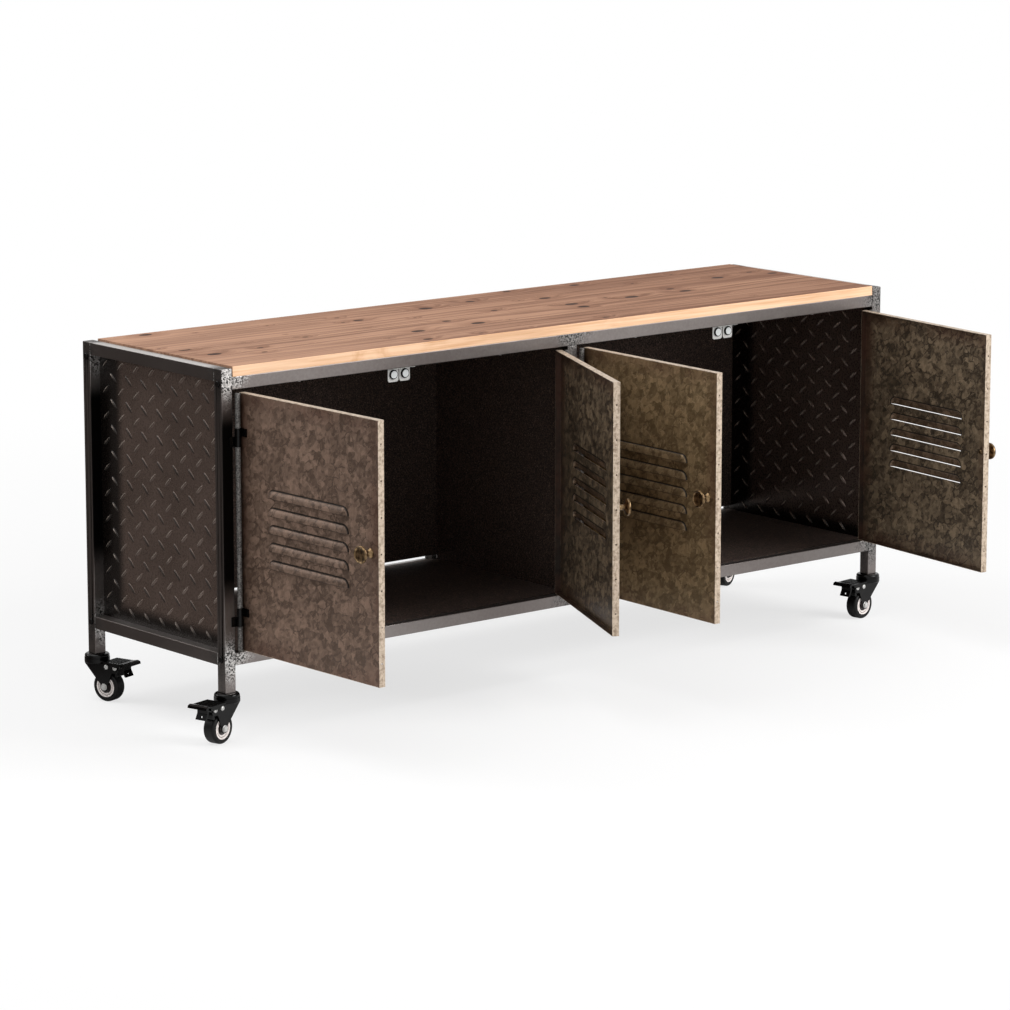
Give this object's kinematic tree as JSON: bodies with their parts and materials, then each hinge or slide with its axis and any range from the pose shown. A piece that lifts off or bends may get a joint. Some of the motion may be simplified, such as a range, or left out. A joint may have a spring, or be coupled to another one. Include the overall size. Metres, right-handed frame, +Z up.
{
  "type": "sideboard buffet on casters",
  "caption": "Low industrial sideboard: dark square-tube frame on braked casters, plank top, chequer-plate ends and louvred zinc doors held by magnets.",
  "frame": {"origin": "on the floor, under the middle of the tube frame", "axes": "+X to the right along the front, +Y from the doors to the back, +Z up"},
  "size_m": [1.4758, 0.715, 0.583],
  "materials": {
    "frame_paint": "dark grey paint, speckled at the joints",
    "chequer_plate": "dark brown-black paint over pressed lugs",
    "sheet_paint": "matt black-brown paint with fine specks",
    "top_wood": "knotty softwood planks, matt",
    "patina_zinc": "spangled zinc with a brown patina, worn bright at the edges",
    "aged_bronze": "aged bronze, satin",
    "bright_steel": "bright zinc plate",
    "magnet_grey": "matt grey",
    "black_steel": "gloss black coat",
    "tyre_rubber": "satin black",
    "hub_plastic": "off-white ring"
  },
  "bodies": {
    "frame": {"front_left_post": "frame_paint", "front_right_post": "frame_paint", "rear_left_post": "frame_paint", "rear_right_post": "frame_paint", "left_side_rails": "frame_paint", "right_side_rails": "frame_paint", "front_top_rail": "frame_paint", "front_bottom_rail": "frame_paint", "rear_top_rail": "frame_paint", "rear_bottom_rail": "frame_paint", "centre_posts": "frame_paint", "centre_divider": "sheet_paint", "left_side_panel": "chequer_plate", "right_side_panel": "chequer_plate", "floor_panel": "sheet_paint", "back_panel": "sheet_paint", "wood_top": "top_wood", "hinge_bases": "black_steel", "catch_brackets": "bright_steel", "catch_magnets": "magnet_grey", "frame_bolts": "black_steel", "top_screws": "bright_steel", "panel_rivets": "black_steel", "caster_stems": "black_steel"},
    "left_end_door": {"left_end_door_panel": "patina_zinc", "left_end_door_hinges": "black_steel", "left_end_door_knob": "aged_bronze", "left_end_door_strike": "bright_steel"},
    "left_centre_door": {"left_centre_door_panel": "patina_zinc", "left_centre_door_hinges": "black_steel", "left_centre_door_knob": "aged_bronze", "left_centre_door_strike": "bright_steel"},
    "right_centre_door": {"right_centre_door_panel": "patina_zinc", "right_centre_door_hinges": "black_steel", "right_centre_door_knob": "aged_bronze", "right_centre_door_strike": "bright_steel"},
    "right_end_door": {"right_end_door_panel": "patina_zinc", "right_end_door_hinges": "black_steel", "right_end_door_knob": "aged_bronze", "right_end_door_strike": "bright_steel"},
    "front_left_swivel": {"front_left_caster_fork": "black_steel", "front_left_caster_axle": "bright_steel"},
    "front_left_wheel": {"front_left_caster_tyre": "tyre_rubber", "front_left_caster_hub": "hub_plastic"},
    "front_left_pedal": {"front_left_caster_pedal": "black_steel"},
    "rear_left_swivel": {"rear_left_caster_fork": "black_steel", "rear_left_caster_axle": "bright_steel"},
    "rear_left_wheel": {"rear_left_caster_tyre": "tyre_rubber", "rear_left_caster_hub": "hub_plastic"},
    "rear_left_pedal": {"rear_left_caster_pedal": "black_steel"},
    "front_right_swivel": {"front_right_caster_fork": "black_steel", "front_right_caster_axle": "bright_steel"},
    "front_right_wheel": {"front_right_caster_tyre": "tyre_rubber", "front_right_caster_hub": "hub_plastic"},
    "front_right_pedal": {"front_right_caster_pedal": "black_steel"},
    "rear_right_swivel": {"rear_right_caster_fork": "black_steel", "rear_right_caster_axle": "bright_steel"},
    "rear_right_wheel": {"rear_right_caster_tyre": "tyre_rubber", "rear_right_caster_hub": "hub_plastic"},
    "rear_right_pedal": {"rear_right_caster_pedal": "black_steel"}
  },
  "joints": [
    {"name": "left_end_door_hinge", "type": "hinge", "parent": "frame", "child": "left_end_door", "pos_m": [-0.6738, -0.1908, 0.3425], "axis": [0, 0, -1], "range_deg": [-88.7, 81.3]},
    {"name": "left_centre_door_hinge", "type": "hinge", "parent": "frame", "child": "left_centre_door", "pos_m": [-0.0162, -0.1908, 0.3425], "axis": [0, 0, 1], "range_deg": [-65.2, 21.8]},
    {"name": "right_centre_door_hinge", "type": "hinge", "parent": "frame", "child": "right_centre_door", "pos_m": [0.0162, -0.1908, 0.3425], "axis": [0, 0, -1], "range_deg": [-91.9, 0]},
    {"name": "right_end_door_hinge", "type": "hinge", "parent": "frame", "child": "right_end_door", "pos_m": [0.6738, -0.1908, 0.3425], "axis": [0, 0, 1], "range_deg": [-83.6, 86.4]},
    {"name": "front_left_swivel_turn", "type": "hinge", "parent": "frame", "child": "front_left_swivel", "pos_m": [-0.69, -0.176, 0.0696], "axis": [0, 0, 1], "continuous": true},
    {"name": "front_left_wheel_roll", "type": "hinge", "parent": "front_left_swivel", "child": "front_left_wheel", "pos_m": [-0.71222, -0.18195, 0.0245], "axis": [0.2588, -0.9659, 0], "continuous": true},
    {"name": "front_left_pedal_press", "type": "hinge", "parent": "front_left_swivel", "child": "front_left_pedal", "pos_m": [-0.73347, -0.18765, 0.058], "axis": [0.2588, -0.9659, 0], "range_deg": [0, 12]},
    {"name": "rear_left_swivel_turn", "type": "hinge", "parent": "frame", "child": "rear_left_swivel", "pos_m": [-0.69, 0.176, 0.0696], "axis": [0, 0, 1], "continuous": true},
    {"name": "rear_left_wheel_roll", "type": "hinge", "parent": "rear_left_swivel", "child": "rear_left_wheel", "pos_m": [-0.68289, 0.15413, 0.0245], "axis": [0.9511, 0.309, 0], "continuous": true},
    {"name": "rear_left_pedal_press", "type": "hinge", "parent": "rear_left_swivel", "child": "rear_left_pedal", "pos_m": [-0.67609, 0.1332, 0.058], "axis": [0.9511, 0.309, 0], "range_deg": [0, 12]},
    {"name": "front_right_swivel_turn", "type": "hinge", "parent": "frame", "child": "front_right_swivel", "pos_m": [0.69, -0.176, 0.0696], "axis": [0, 0, 1], "continuous": true},
    {"name": "front_right_wheel_roll", "type": "hinge", "parent": "front_right_swivel", "child": "front_right_wheel", "pos_m": [0.66717, -0.1788, 0.0245], "axis": [0.1219, -0.9925, 0], "continuous": true},
    {"name": "front_right_pedal_press", "type": "hinge", "parent": "front_right_swivel", "child": "front_right_pedal", "pos_m": [0.64533, -0.18148, 0.058], "axis": [0.1219, -0.9925, 0], "range_deg": [0, 12]},
    {"name": "rear_right_swivel_turn", "type": "hinge", "parent": "frame", "child": "rear_right_swivel", "pos_m": [0.69, 0.176, 0.0696], "axis": [0, 0, 1], "continuous": true},
    {"name": "rear_right_wheel_roll", "type": "hinge", "parent": "rear_right_swivel", "child": "rear_right_wheel", "pos_m": [0.66839, 0.16813, 0.0245], "axis": [0.342, -0.9397, 0], "continuous": true},
    {"name": "rear_right_pedal_press", "type": "hinge", "parent": "rear_right_swivel", "child": "rear_right_pedal", "pos_m": [0.64771, 0.16061, 0.058], "axis": [0.342, -0.9397, 0], "range_deg": [0, 12]}
  ]
}
